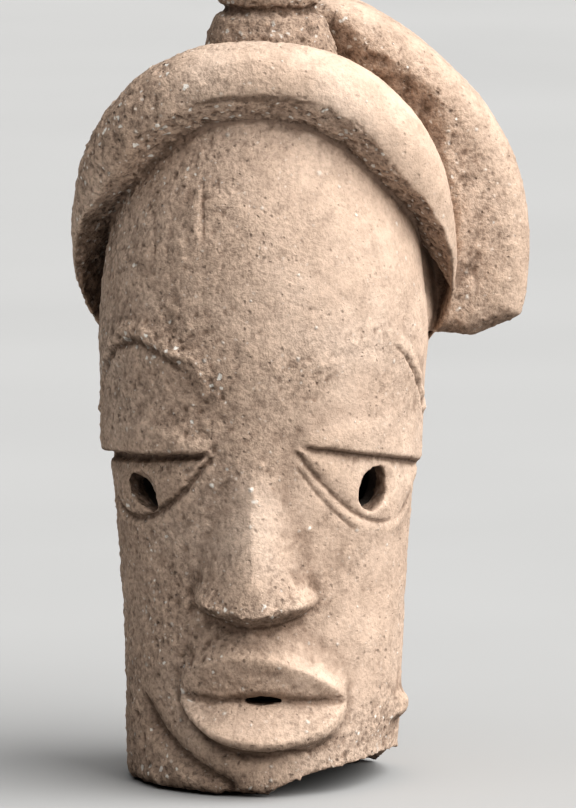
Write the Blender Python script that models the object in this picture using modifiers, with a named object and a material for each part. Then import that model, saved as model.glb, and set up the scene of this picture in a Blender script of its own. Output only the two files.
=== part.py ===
"""Terracotta head sculpture: one hollow fired-clay piece, open below.

Metres, +Z up. The base rests on z = 0 and the face looks along -Y.
The figure is worked out from its crown height; the wall, the holes and the chip have sizes of their own.
"""
import bpy
import bmesh
import math
from mathutils import Matrix, Vector

CROWN_HEIGHT = 0.317        # base to the top of the cranium, under the bun
WALL = 0.015                # thickness of the clay
VAULT = 0.020               # thickness of the clay at the crown
PUPIL_WIDTH = 0.0145        # pierced pupils
PUPIL_HEIGHT = 0.0175
MOUTH_HOLE_WIDTH = 0.017    # small slot between the lips
MOUTH_HOLE_HEIGHT = 0.0045
CHIP_LENGTH = 0.118         # stretch of the rim lost under the figure's left jaw
CHIP_HEIGHT = 0.015


def share(part_of_crown_height):
    """A length of the figure, given as it is at a crown height of 317."""
    return part_of_crown_height * CROWN_HEIGHT / 317.0


# The figure's proportions
BASE_RADIUS = share(60)
TEMPLE_RADIUS = share(72)
TEMPLE_HEIGHT = share(190)
LID_HEIGHT = share(152)         # upper lid line, at the inner corner of the eye
LID_DROP = share(11.5)          # how far the line has fallen at the outer corner
LID_OVERHANG = share(3.6)
EYE_DROP = share(30)
EYE_INNER = math.radians(15)
EYE_OUTER = math.radians(92)
PUPIL_TURN = math.radians(49.5)
PUPIL_LEVEL = share(131)
BROW_INNER = math.radians(13)
BROW_PEAK = math.radians(46)
BROW_OUTER = math.radians(84)
BROW_HEIGHT = share(202)
NOSE_BASE = share(81)
NOSE_TOP = share(163)
NOSE_PROUD = share(19)
NOSE_HALF_WIDTH = share(28.5)
MOUTH_TURN = math.radians(3.8)
MOUTH_HEIGHT = share(44)
MOUTH_HALF_WIDTH = share(36)
LIP_RADIUS = share(11.5)
ROLL_SWEEP = share(66)
ROLL_RADIUS = share(18)
ROLL_SHOULDER = 0.86        # under 1, the roll is fuller at its shoulders than an ellipse
WING_RADIUS = share(114.5)
WING_CENTRE = share(231)
WING_FRONT = share(18)
WING_THICKNESS = share(36)
BUN_HEIGHT = share(33)
BUN_RADIUS = share(29)
CHIP_TURN = math.radians(66)

COLUMNS = 56
LEVELS = [0, 4, 16, 25, 32, 40, 52, 64, 76, 88, 98, 107, 114, 120, 126, 132, 138, 143.5, 146.8,
          148.2, 151, 156, 164, 174, 184, 194, 206, 220, 236, 252, 268, 284, 298, 308, 314.5, 317]


def smooth(low, high, value):
    """Rise from 0 at low to 1 at high with level ends."""
    t = min(max((value - low) / (high - low), 0.0), 1.0)
    return t * t * (3.0 - 2.0 * t)


def column_radius(z):
    """Radius of the plain head, a tapered column under an egg-shaped cranium."""
    if z >= TEMPLE_HEIGHT:
        rise = (z - TEMPLE_HEIGHT) / (CROWN_HEIGHT - TEMPLE_HEIGHT)
        return TEMPLE_RADIUS * math.sqrt(max(0.0, 1.0 - rise * rise))
    return BASE_RADIUS + (TEMPLE_RADIUS - BASE_RADIUS) * (max(z, 0.0) / TEMPLE_HEIGHT) ** 2.2


def lid_line(turn):
    """Height of the straight upper lid, which falls towards the temple."""
    t = (abs(turn) - EYE_INNER) / (EYE_OUTER - EYE_INNER)
    return LID_HEIGHT - LID_DROP * min(max(t, 0.0), 1.0)


def eye_contour(turn):
    """Height of the curved lower edge of the eye."""
    t = (abs(turn) - EYE_INNER) / (EYE_OUTER - EYE_INNER)
    return lid_line(turn) - EYE_DROP * max(0.0, math.sin(math.pi * min(max(t, 0.0), 1.0))) ** 0.8


def face_radius(turn, z):
    """Radius of the head with its brow bulge, lid overhang, sunken eyes, chin and worn jaw."""
    side = abs(turn)
    radius = column_radius(z)
    lid = lid_line(turn)
    over_eye = smooth(EYE_INNER * 0.9, EYE_INNER * 2.6, side) * (1.0 - smooth(1.5, 1.8, side))
    if z >= lid:
        radius += LID_OVERHANG * over_eye * (1.0 - smooth(lid, lid + share(46), z))
    else:
        contour = eye_contour(turn)
        if contour < z:
            depth = (lid - z) / (lid - contour)
            radius -= share(2.6) * over_eye * (1.0 - depth) - share(1.6) * math.sin(math.pi * depth)
    cheek = math.exp(-((z - share(100)) / share(26)) ** 2) * math.exp(-((side - 0.62) / 0.3) ** 2)
    chin = math.exp(-((z - share(18)) / share(16)) ** 2) * math.exp(-(side / 0.5) ** 2)
    lump = math.exp(-((z - share(32)) / share(6)) ** 2) * math.exp(-((turn - 1.45) / 0.22) ** 2)
    worn = math.exp(-((z - share(14)) / share(16)) ** 2) * math.exp(-((turn - 1.25) / 0.45) ** 2)
    return radius + share(3.0) * chin - share(2.2) * cheek + share(5.0) * lump - share(3.0) * worn


def on_head(turn, z, proud=0.0):
    """Point over the head's surface; turn 0 is the middle of the face, positive to +X."""
    radius = face_radius(turn, z) + proud
    return Vector((radius * math.sin(turn), -radius * math.cos(turn), z))


def new_object(name, bm, group):
    mesh = bpy.data.meshes.new(name)
    bmesh.ops.recalc_face_normals(bm, faces=bm.faces)
    bm.to_mesh(mesh)
    bm.free()
    obj = bpy.data.objects.new(name, mesh)
    group.objects.link(obj)
    return obj


def head_body(group):
    """A sphere whose rows are moved to the levels of the head and its columns to the face's radius."""
    bm = bmesh.new()
    bmesh.ops.create_uvsphere(bm, u_segments=COLUMNS, v_segments=len(LEVELS) + 1, radius=1.0)
    for vert in bm.verts:
        row = round(math.acos(max(-1.0, min(1.0, -vert.co.z))) / math.pi * (len(LEVELS) + 1))
        if row == 0:
            vert.co = Vector((0.0, 0.0, 0.0))
        elif row == len(LEVELS) + 1:
            vert.co = Vector((0.0, 0.0, CROWN_HEIGHT))
        else:
            spread = math.atan2(vert.co.x, -vert.co.y)
            turn = spread - 0.30 * math.sin(spread)
            level = share(LEVELS[row - 1])
            if row == len(LEVELS):
                level = CROWN_HEIGHT - share(0.5)
            near_lid = math.exp(-((level - LID_HEIGHT) / share(24)) ** 2)
            z = max(0.0, level + near_lid * (lid_line(turn) + share(1.0) - LID_HEIGHT))
            vert.co = on_head(turn, z)
    return new_object("head_body", bm, group)


def tube(name, points, radii, sides, group, closed=False):
    """A round bar along points, made from a curve with a bevel and turned into a mesh."""
    curve = bpy.data.curves.new(name, "CURVE")
    curve.dimensions = "3D"
    curve.bevel_depth = 1.0
    curve.bevel_resolution = sides // 2 - 2
    curve.use_fill_caps = not closed
    spline = curve.splines.new("POLY")
    spline.points.add(len(points) - 1)
    spline.use_cyclic_u = closed
    for knot, point, radius in zip(spline.points, points, radii):
        knot.co = (point[0], point[1], point[2], 1.0)
        knot.radius = radius
    bar = bpy.data.objects.new(name, curve)
    group.objects.link(bar)
    return curve_to_mesh(bar, group)


def curve_to_mesh(bar, group):
    name = bar.name
    graph = bpy.context.evaluated_depsgraph_get()
    graph.update()
    mesh = bpy.data.meshes.new_from_object(bar.evaluated_get(graph))
    bm = bmesh.new()
    bm.from_mesh(mesh)
    bmesh.ops.remove_doubles(bm, verts=bm.verts, dist=1e-6)
    bm.transform(bar.matrix_world)
    bpy.data.objects.remove(bar)
    return new_object(name, bm, group)


def egg(name, centre, half_sizes, group, turn=0.0, tilt=0.0, segments=16, rings=10):
    """An ellipsoid, rolled about Y by tilt and then turned about Z."""
    bm = bmesh.new()
    bmesh.ops.create_uvsphere(bm, u_segments=segments, v_segments=rings, radius=1.0)
    place = Matrix.Translation(centre) @ Matrix.Rotation(turn, 4, "Z") @ Matrix.Rotation(tilt, 4, "Y")
    bm.transform(place @ Matrix.Diagonal((*half_sizes, 1.0)))
    return new_object(name, bm, group)


def turned(name, profile, steps, group):
    """A turned solid from (radius, height) pairs, listed from the top down."""
    mesh = bpy.data.meshes.new(name)
    points = [(radius, 0.0, height) for radius, height in profile]
    mesh.from_pydata(points, [(i, i + 1) for i in range(len(points) - 1)], [])
    obj = bpy.data.objects.new(name, mesh)
    group.objects.link(obj)
    screw = obj.modifiers.new("turn", "SCREW")
    screw.steps = steps
    screw.render_steps = steps
    screw.use_merge_vertices = True
    screw.merge_threshold = 0.0001
    return curve_to_mesh(obj, group)


def roll_point(sweep):
    """Centre line of the roll: over the forehead at sweep 0, down past the temples, round the nape."""
    side = math.copysign(abs(math.sin(sweep)) ** ROLL_SHOULDER, math.sin(sweep))
    rise = math.copysign(abs(math.cos(sweep)) ** ROLL_SHOULDER, math.cos(sweep))
    x = ROLL_SWEEP * side
    if rise >= 0.0:
        y = share(5) - share(43) * rise
        z = share(231) + share(78) * rise
    else:
        y = share(5) - share(57) * rise
        z = share(231) + share(60) * rise
        x *= 1.0 - 0.10 * rise ** 2
    return Vector((x, y, z))


def roll(group):
    count = 44
    sweeps = [2.0 * math.pi * i / count for i in range(count)]
    radii = [ROLL_RADIUS * (1.0 - 0.12 * smooth(0.2, 1.0, -math.cos(s))) for s in sweeps]
    return tube("roll", [roll_point(s) for s in sweeps], radii, 12, group, closed=True)


def bun(group):
    """Two stacked tiers with a groove between them, a little wider than deep."""
    foot = CROWN_HEIGHT - share(14)
    top = CROWN_HEIGHT + BUN_HEIGHT
    profile = [(0.0, top), (BUN_RADIUS * 0.42, top - share(1)), (BUN_RADIUS * 0.68, top - share(4)),
               (BUN_RADIUS * 0.80, top - share(9)), (BUN_RADIUS * 0.78, top - share(13)),
               (BUN_RADIUS * 0.68, top - share(15.5)), (BUN_RADIUS * 0.80, top - share(18)),
               (BUN_RADIUS * 0.90, top - share(23)), (BUN_RADIUS, top - share(31)),
               (BUN_RADIUS * 1.02, top - share(36)), (BUN_RADIUS * 0.96, foot), (0.0, foot)]
    body = turned("bun", profile, 28, group)
    body.data.transform(Matrix.Translation((share(2.5), share(1), 0.0)) @ Matrix.Diagonal((1, 0.8, 1, 1)))
    return body


def wing(group):
    """A thick upright slab behind the roll: an arc outside, broken off below, with soft edges."""
    edge = share(12)
    inner = share(40)
    first, last = math.radians(-14), math.radians(103)
    outline = []
    for i in range(21):
        sweep = first + (last - first) * i / 20
        flat = 0.035 * math.exp(-((sweep - math.radians(41)) / 0.40) ** 2)
        fall = 0.24 * (1.0 - smooth(first, math.radians(22), sweep))
        reach = WING_RADIUS * (1.0 - flat - fall) - edge
        outline.append((reach * math.sin(sweep), reach * math.cos(sweep)))
    outline += [(share(88), -share(28)), (share(66), -share(28)), (inner, -share(24)),
                (share(12), share(26)), (-share(12), share(26))]
    curve = bpy.data.curves.new("wing", "CURVE")
    curve.dimensions = "2D"
    curve.fill_mode = "BOTH"
    curve.extrude = WING_THICKNESS / 2.0 - edge
    curve.bevel_depth = edge
    curve.bevel_resolution = 2
    spline = curve.splines.new("POLY")
    spline.points.add(len(outline) - 1)
    spline.use_cyclic_u = True
    for knot, (x, z) in zip(spline.points, outline):
        knot.co = (x, z, 0.0, 1.0)
    slab = bpy.data.objects.new("wing", curve)
    group.objects.link(slab)
    slab.rotation_euler = (math.radians(90), 0.0, 0.0)
    slab.location = (0.0, WING_FRONT + WING_THICKNESS / 2.0, WING_CENTRE)
    bpy.context.view_layer.update()
    return curve_to_mesh(slab, group)


def nose(group):
    """A wedge with a soft ridge, widening to a flat base, from a sphere's rows and columns."""
    rows = 12
    bm = bmesh.new()
    bmesh.ops.create_uvsphere(bm, u_segments=20, v_segments=rows, radius=1.0)
    for vert in bm.verts:
        rise = round(math.acos(max(-1.0, min(1.0, -vert.co.z))) / math.pi * rows) / rows
        around = math.atan2(vert.co.x, -vert.co.y)
        t = max(0.0, (rise - 1.0 / rows) / (1.0 - 1.0 / rows))
        z = NOSE_BASE + (NOSE_TOP - NOSE_BASE) * t ** 1.15
        half_width = NOSE_HALF_WIDTH * (0.30 + 0.70 * (1.0 - t) ** 1.8)
        proud = NOSE_PROUD * (1.0 - t) ** 0.85 * (0.86 + 0.14 * smooth(0.0, 0.12, t))
        ring = 0.0 if rise == 0.0 else (0.9 if rise <= 1.0 / rows else 1.0)
        if rise >= 1.0:
            ring = 0.0
        lean = math.sin(around)
        x = half_width * ring * lean * (0.72 + 0.28 * abs(lean))
        face = column_radius(z)
        front = max(0.0, math.cos(around)) ** 1.25
        back = min(0.0, math.cos(around))
        y = -math.sqrt(max(1e-9, face * face - x * x)) - ring * proud * front - share(9) * back * ring
        sink = share(1.2) + share(3.5) * (1.0 - front)
        vert.co = Vector((x, y + sink, z))
    return new_object("nose", bm, group)


def lip(name, height, arch, radius, group):
    """A full lip: a bar that swells in the middle and thins to the corners of the mouth."""
    points, radii = [], []
    for i in range(15):
        t = -1.0 + 2.0 * i / 14
        turn = MOUTH_TURN + math.asin(MOUTH_HALF_WIDTH * t / BASE_RADIUS * 0.93)
        z = MOUTH_HEIGHT + (height - MOUTH_HEIGHT) * (1.0 - abs(t) ** 2.4) + arch * (1.0 - t * t)
        swell = math.sqrt(max(0.0, 1.0 - abs(t) ** 2.2))
        radii.append(radius * (0.16 + 0.84 * swell))
        points.append(on_head(turn, z, share(3.4) * swell))
    return tube(name, points, radii, 12, group)


def brow(side, group):
    """A thin raised ridge: an arch from beside the nose to the outer end of the lid."""
    points = []
    for i in range(17):
        turn = BROW_INNER + (BROW_OUTER - BROW_INNER) * i / 16
        if turn < BROW_PEAK:
            drop = share(21) * ((BROW_PEAK - turn) / (BROW_PEAK - BROW_INNER)) ** 1.5
        else:
            drop = share(38) * ((turn - BROW_PEAK) / (BROW_OUTER - BROW_PEAK)) ** 1.7
        points.append(on_head(side * turn, BROW_HEIGHT - drop, -share(1.0)))
    return tube("brow", points, [share(3.3)] * len(points), 8, group)


def lower_lid(side, group):
    """The thin raised rim that follows the eye's lower contour."""
    points = []
    for i in range(15):
        turn = EYE_INNER + (EYE_OUTER - EYE_INNER) * (0.02 + 0.94 * i / 14)
        points.append(on_head(side * turn, eye_contour(side * turn) - share(1.5), -share(0.5)))
    return tube("lower_lid", points, [share(2.1)] * len(points), 8, group)


def jaw_groove(group):
    """A cut line that parts the chin from the side of the jaw on the figure's right."""
    points = []
    for i in range(13):
        t = i / 12
        turn = -math.radians(61 - 48 * t)
        z = share(50) - share(46) * math.sin(0.5 * math.pi * t) ** 0.9
        points.append(on_head(turn, z, share(0.7)))
    return tube("jaw_groove", points, [share(2.7)] * len(points), 8, group)


def cavity(group):
    """The hollow inside, which follows the column a wall's thickness in and opens through the base."""
    profile = [(0.0, CROWN_HEIGHT - VAULT)]
    top = CROWN_HEIGHT - VAULT
    spring = TEMPLE_HEIGHT
    for i in range(1, 7):
        sweep = 0.5 * math.pi * i / 6
        profile.append(((TEMPLE_RADIUS - WALL) * math.sin(sweep), spring + (top - spring) * math.cos(sweep)))
    for i in range(1, 5):
        z = spring * (1.0 - i / 4)
        profile.append((column_radius(z) - WALL, z))
    profile.append((column_radius(0.0) - WALL, -WALL))
    profile.append((0.0, -WALL))
    return turned("cavity", profile, 28, group)


def pupil(side, group):
    """The cutter of one pierced pupil, which leans outward at its top."""
    middle = on_head(side * PUPIL_TURN, PUPIL_LEVEL, -WALL / 2.0)
    half_sizes = (PUPIL_WIDTH / 2.0, WALL * 1.5, PUPIL_HEIGHT / 2.0)
    return egg("pupil", middle, half_sizes, group, side * PUPIL_TURN, side * math.radians(12))


def mouth_hole(group):
    middle = on_head(MOUTH_TURN, MOUTH_HEIGHT + share(0.5), 0.0)
    half_sizes = (MOUTH_HOLE_WIDTH / 2.0, WALL * 2.0, MOUTH_HOLE_HEIGHT / 2.0)
    return egg("mouth_hole", middle, half_sizes, group, MOUTH_TURN)


def base_chip(group):
    """The broken corner at the foot, under the figure's left jaw."""
    below = share(4)
    middle = on_head(CHIP_TURN, -below, -WALL)
    half_sizes = (CHIP_LENGTH / 2.0, WALL * 2.2, CHIP_HEIGHT + below)
    return egg("base_chip", middle, half_sizes, group, CHIP_TURN, 0.0, 16, 8)


def join(body, other, operation):
    """Add or cut away another shape for good, and hide that shape as a cutter."""
    step = body.modifiers.new(other.name, "BOOLEAN")
    step.operation = operation
    step.solver = "EXACT"
    step.object = other
    graph = bpy.context.evaluated_depsgraph_get()
    graph.update()
    mesh = bpy.data.meshes.new_from_object(body.evaluated_get(graph))
    body.modifiers.remove(step)
    old = body.data
    body.data = mesh
    bpy.data.meshes.remove(old)
    other.hide_render = True
    other.display_type = "WIRE"


def clay():
    material = bpy.data.materials.new("fired_clay")
    material.use_nodes = True
    shader = material.node_tree.nodes["Principled BSDF"]
    shader.inputs["Base Color"].default_value = (0.46, 0.36, 0.28, 1.0)
    shader.inputs["Roughness"].default_value = 0.92
    shader.inputs["Metallic"].default_value = 0.0
    return material


def centre_on_origin(body, everything):
    """Move all of it so that the middle of the body's own box stands over the origin."""
    xs = [vert.co.x for vert in body.data.vertices]
    ys = [vert.co.y for vert in body.data.vertices]
    middle = Vector(((min(xs) + max(xs)) / 2.0, (min(ys) + max(ys)) / 2.0, 0.0))
    for obj in everything:
        obj.data.transform(Matrix.Translation(-middle))


def main():
    for obj in list(bpy.data.objects):
        bpy.data.objects.remove(obj)
    parts = bpy.data.collections.new("terracotta_head_sculpture")
    shapes = bpy.data.collections.new("shapes_joined_or_cut")
    bpy.context.scene.collection.children.link(parts)
    bpy.context.scene.collection.children.link(shapes)

    head = head_body(parts)
    head.name = "terracotta_head"
    added = [wing(shapes), roll(shapes), bun(shapes), nose(shapes)]
    added.append(lip("upper_lip", MOUTH_HEIGHT + share(8.5), share(1.5), LIP_RADIUS * 0.80, shapes))
    added.append(lip("lower_lip", MOUTH_HEIGHT - share(11), -share(1.5), LIP_RADIUS, shapes))
    for side in (-1.0, 1.0):
        added.append(brow(side, shapes))
        added.append(lower_lid(side, shapes))
    for shape in added:
        join(head, shape, "UNION")
    cut = [jaw_groove(shapes), cavity(shapes), mouth_hole(shapes), base_chip(shapes)]
    cut += [pupil(-1.0, shapes), pupil(1.0, shapes)]
    for shape in cut:
        join(head, shape, "DIFFERENCE")

    centre_on_origin(head, list(parts.objects) + list(shapes.objects))
    head.data.materials.clear()
    head.data.materials.append(clay())
    head.data.shade_smooth()
    head.data.set_sharp_from_angle(angle=math.radians(38))


main()
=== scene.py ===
import math

import bmesh
import bpy
import numpy as np
from mathutils import Matrix, Vector


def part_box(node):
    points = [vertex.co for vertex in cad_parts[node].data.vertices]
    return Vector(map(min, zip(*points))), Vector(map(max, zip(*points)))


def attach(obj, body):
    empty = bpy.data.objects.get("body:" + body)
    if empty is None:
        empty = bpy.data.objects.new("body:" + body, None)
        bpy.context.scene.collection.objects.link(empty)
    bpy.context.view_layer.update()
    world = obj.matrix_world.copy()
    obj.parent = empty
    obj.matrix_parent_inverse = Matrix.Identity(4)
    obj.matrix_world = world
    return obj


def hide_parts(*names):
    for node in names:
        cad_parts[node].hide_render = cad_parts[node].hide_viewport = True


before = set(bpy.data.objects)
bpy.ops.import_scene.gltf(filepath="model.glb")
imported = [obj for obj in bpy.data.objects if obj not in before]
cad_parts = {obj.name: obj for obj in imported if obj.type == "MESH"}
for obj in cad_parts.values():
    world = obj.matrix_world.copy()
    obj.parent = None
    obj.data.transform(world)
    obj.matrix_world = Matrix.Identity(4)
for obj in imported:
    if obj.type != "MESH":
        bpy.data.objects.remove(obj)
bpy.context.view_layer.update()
low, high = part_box("terracotta_head")
NODE = "terracotta_head"

# The figure is drawn 350 units tall, about a millimetre each, round the upright axis of the head's column.
# Left and right are as the picture shows them. Turns are about the axis, from 0 in the middle of the face.
CROWN, BUN_H = 317.0, 33.0  # the cranium's height, and how far the bun stands above it
UNIT = (high.z - low.z) / (CROWN + BUN_H)
LEFT_REACH = 84.0           # axis to the roll's outer side
BACK_REACH = 77.47          # axis to the roll's back
AXIS = Vector((low.x + LEFT_REACH * UNIT, high.y - BACK_REACH * UNIT, 0.0))

TEMPLE_Z, TEMPLE_R, BASE_R = 190.0, 72.0, 60.0
WALL, VAULT = 15.0, 20.0
LID_Z, LID_OVER, EYE_DROP = 152.0, 2.7, 28.5
EYE_IN, EYE_OUT = math.radians(15), math.radians(92)
PUPIL_TURN, PUPIL_Z = math.radians(49.5), 131.0
BROW_IN, BROW_PEAK, BROW_OUT, BROW_Z = math.radians(13), math.radians(46), math.radians(84), 202.0
NOSE_Z, NOSE_TOP, NOSE_PROUD, NOSE_HALF = 81.0, 163.0, 19.0, 28.5
MOUTH_TURN, MOUTH_Z, MOUTH_SPAN = math.radians(3.8), 42.7, math.radians(37)
HAIR_Z = 231.0              # level of the middle of the roll and of the wing's arc
ROLL_SWEEP, ROLL_R, ROLL_SHOULDER = 66.0, 18.0, 0.86
WING_R, WING_FRONT, WING_THICK, WING_EDGE = 114.5, 18.0, 36.0, 12.0
BUN_R = 29.0
CHIP_TURN, CHIP_HALF_SIZES = math.radians(66), (59.0, 33.0, 19.0)
MOUTH_HOLE_HALF_SIZES = (8.6, 30.0, 1.6)
VOXEL = 0.85
MOST_TRIANGLES = 194000

CAMERA_TURN, CAMERA_HEIGHT, CAMERA_AWAY = math.radians(3.8), math.radians(8.0), 5.0
PICTURE_TALL = 808 * 0.436  # rows of the picture, and units of the figure to a row
AIM_RIGHT, AIM_Z = 10.6, 163.6


def smooth(start, end, value):
    """Rise from 0 at start to 1 at end with level ends, for numbers or arrays."""
    t = np.clip((value - start) / (end - start), 0.0, 1.0)
    return t * t * (3.0 - 2.0 * t)


def bell(value, middle, width):
    """1 at the middle, falling off to both sides like a bell."""
    return np.exp(-(((value - middle) / width) ** 2))


def hashed(ix, iy, iz, seed):
    """Seeded pseudo-random numbers from 0 to 1 for whole-number cells."""
    n = (ix * 2376512323 + iy * 3625334849 + iz * 3407524639 + seed * 2654435761) & 0xFFFFFFFF
    n = ((n ^ (n >> 15)) * 739982445) & 0xFFFFFFFF
    n = ((n ^ (n >> 12)) * 695872825) & 0xFFFFFFFF
    return (n ^ (n >> 15)) / 4294967295.0


def noise(points, size, seed):
    """Smooth noise from -1 to 1 whose lumps are about size units across."""
    p = points / size
    cell = np.floor(p).astype(np.int64)
    f = p - cell
    f = f * f * f * (f * (f * 6.0 - 15.0) + 10.0)
    total = np.zeros(len(points))
    for corner in range(8):
        dx, dy, dz = corner & 1, (corner >> 1) & 1, (corner >> 2) & 1
        weight = (f[:, 0] if dx else 1.0 - f[:, 0]) * (f[:, 1] if dy else 1.0 - f[:, 1])
        weight = weight * (f[:, 2] if dz else 1.0 - f[:, 2])
        total += weight * hashed(cell[:, 0] + dx, cell[:, 1] + dy, cell[:, 2] + dz, seed)
    return total * 2.0 - 1.0


def layers(points, size, seed, count=3, fade=0.55):
    """Several sizes of noise on top of each other."""
    total, height, top = np.zeros(len(points)), 1.0, 0.0
    for i in range(count):
        total += height * noise(points, size * 0.5 ** i, seed + i * 7)
        top += height
        height *= fade
    return total / top


def grains(points, size, filled, seed):
    """How near each point is to a scattered grain: 1 at a grain's centre, 0 from size * 0.5 away."""
    p = points / size
    cell = np.floor(p).astype(np.int64)
    best = np.full(len(points), 9.0)
    for dx in (-1, 0, 1):
        for dy in (-1, 0, 1):
            for dz in (-1, 0, 1):
                cx, cy, cz = cell[:, 0] + dx, cell[:, 1] + dy, cell[:, 2] + dz
                there = hashed(cx, cy, cz, seed) < filled
                away = (cx + hashed(cx, cy, cz, seed + 1) - p[:, 0]) ** 2
                away += (cy + hashed(cx, cy, cz, seed + 2) - p[:, 1]) ** 2
                away += (cz + hashed(cx, cy, cz, seed + 3) - p[:, 2]) ** 2
                best = np.where(there, np.minimum(best, away), best)
    return np.clip(1.0 - np.sqrt(best) / 0.5, 0.0, 1.0)


def column(z):
    """Radius of the plain head: a tapered column under an egg-shaped cranium."""
    rise = np.clip((z - TEMPLE_Z) / (CROWN - TEMPLE_Z), 0.0, 1.0)
    below = BASE_R + (TEMPLE_R - BASE_R) * (np.clip(z, 0.0, TEMPLE_Z) / TEMPLE_Z) ** 2.2
    return np.where(z >= TEMPLE_Z, TEMPLE_R * np.sqrt(1.0 - rise * rise), below)


def across_eye(turn):
    """From 0 at an eye's inner corner to 1 at its outer one."""
    return np.clip((np.abs(turn) - EYE_IN) / (EYE_OUT - EYE_IN), 0.0, 1.0)


def lid_line(turn):
    """Height of the upper lid's edge, which starts higher and falls more on the right."""
    t = across_eye(turn)
    return LID_Z + np.where(turn > 0.0, 3.3 - 16.5 * t, -0.4 - 8.6 * t)


def eye_contour(turn):
    """Height of the eye's curved lower edge."""
    t = across_eye(turn)
    return lid_line(turn) - EYE_DROP * np.maximum(np.sin(math.pi * t), 0.0) ** 0.8


def lip_foot(s, line):
    """Height of the lower lip's foot, s running from -1 to 1 across the mouth."""
    return line - 20.0 * (1.0 - np.minimum(np.abs(s + 0.02), 1.0) ** 2) ** 0.88


def mouth_line(s):
    """Height of the line between the lips, which dips at the right corner and lifts at the left."""
    return MOUTH_Z + np.where(s < 0.0, 2.2 * np.abs(s) ** 3, -2.0 * s ** 2)


def mouth_relief(turn, z):
    """Two full lips: the upper hangs over the mouth line, the lower stands out below it."""
    s = np.clip((turn - MOUTH_TURN) / MOUTH_SPAN, -1.0, 1.0)
    side = np.abs(s)
    line = mouth_line(s)
    skew = s + 0.19 * (1.0 - s * s)
    top = line + 20.0 * (1.0 - np.abs(skew) ** 1.9) ** 0.9
    bottom = lip_foot(s, line)
    swell = (1.0 - side ** 2.2) ** 0.85
    up = (z - line) / np.maximum(top - line, 0.5)
    down = (line - z) / np.maximum(line - bottom, 0.5)
    upper = 3.2 + 7.6 * np.clip(up, 0.0, 1.0)
    fade = np.clip((z - top) / 19.0, 0.0, 1.0)
    upper = np.where(up > 1.0, 10.8 * (1.0 - fade) ** 1.7, upper)
    lower = 0.8 + 13.4 * np.clip(down / 0.84, 0.0, 1.0) ** 0.90 - 2.2 * smooth(0.80, 1.0, down)
    drop = 2.8 + 9.0 * smooth(0.1, 0.9, s)
    lower = np.where(down > 1.0, 12.0 * (1.0 - smooth(0.0, 1.0, (bottom - z) / drop)), lower)
    crease = 1.8 * bell(bottom - z, 4.0, 2.6) * (1.0 - smooth(-0.1, 0.5, s))
    dent = 1.6 * bell(z, line, 1.2) + 2.2 * bell(z, line + 0.8, 2.4) * bell(s, 0.0, 0.26)
    relief = np.where(z >= line, upper, lower) - dent - crease
    return relief * swell


def nose_relief(turn, z, radius):
    """A broad wedge with a soft ridge that widens down to a rough, rounded base."""
    x = radius * np.sin(turn)
    t = np.clip((z - NOSE_Z) / (NOSE_TOP - NOSE_Z), 0.0, 1.0)
    half = NOSE_HALF * (0.62 + 0.38 * (1.0 - t) ** 1.8)
    across = np.clip(np.abs(x) / half, 0.0, 1.0)
    soft_foot = 1.15 + 1.1 * smooth(0.05, 0.7, t)
    ridge = (1.0 - across ** 1.45) ** soft_foot
    wings = 0.36 * bell(across, 0.70, 0.22) * (1.0 - smooth(0.0, 0.20, t)) * (across < 1.0)
    proud = NOSE_PROUD * (1.0 - t) ** 1.2
    foot = NOSE_Z + 4.0 - 10.8 * (1.0 - across ** 2)
    lip = NOSE_Z + 8.2 - 7.0 * (1.0 - across ** 2)
    cut = np.clip((z - foot) / (lip - foot), 0.0, 1.0) ** 0.8
    septum = 1.4 * bell(x, -1.5, 1.7) * smooth(68.0, 74.0, z) * (1.0 - cut)
    return proud * (ridge + wings) * cut + septum


def face_radius(turn, z):
    """Radius of the head with brow bulge, lids, eyes, cheeks, nose, mouth, chin and worn jaw."""
    side = np.abs(turn)
    radius = column(z)
    lid = lid_line(turn)
    contour = eye_contour(turn)
    above = z - lid
    left = turn < 0.0
    start = EYE_IN * (1.5 + 2.4 * smooth(2.0, 20.0, above))
    eye = smooth(EYE_IN * 0.9, start, side) * (1.0 - smooth(1.5, 1.8, side))
    bulge = (LID_OVER + 1.5 * left) * eye * (1.0 - smooth(0.0, 46.0, above))
    bulge = bulge - 0.9 * eye * bell(above, 0.0, 0.9)
    depth = np.clip((lid - z) / np.maximum(lid - contour, 0.5), 0.0, 1.0)
    within = (contour < z) & (side > EYE_IN) & (side < EYE_OUT)
    sunk = np.where(left, 3.0, 1.5)
    ball = -sunk * eye * (1.0 - depth) + 2.3 * np.sin(math.pi * depth) ** np.where(left, 0.8, 1.15)
    under = np.where(left, 3.3, 1.2)
    ball = ball - np.where(left, 3.0, 1.6) * eye * (1.0 - smooth(under - 1.0, under + 1.0, -above))
    radius = radius + np.where(above >= 0.0, bulge, np.where(within, ball, 0.0))
    radius = radius - 2.2 * bell(z, 100.0, 26.0) * bell(side, 0.62, 0.3)
    radius = radius + 3.0 * bell(z, 18.0, 16.0) * bell(side, 0.0, 0.5)
    radius = radius + 4.6 * np.exp(-(((z - 33.0) / 5.6) ** 4)) * bell(turn, 1.45, 0.15)
    radius = radius - 3.0 * bell(z, 14.0, 16.0) * bell(turn, 1.25, 0.45)
    front = side < 1.2
    radius = radius + np.where(front, nose_relief(np.clip(turn, -1.2, 1.2), z, radius), 0.0)
    return radius + np.where(front, mouth_relief(turn, z), 0.0)


def on_head(turn, z, proud=0.0):
    """Points over the surface of the head; turn 0 is the middle of the face."""
    turn, z = np.broadcast_arrays(np.asarray(turn, float), np.asarray(z, float))
    radius = face_radius(turn, z) + proud
    return np.stack([radius * np.sin(turn), -radius * np.cos(turn), z], axis=-1)


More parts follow.
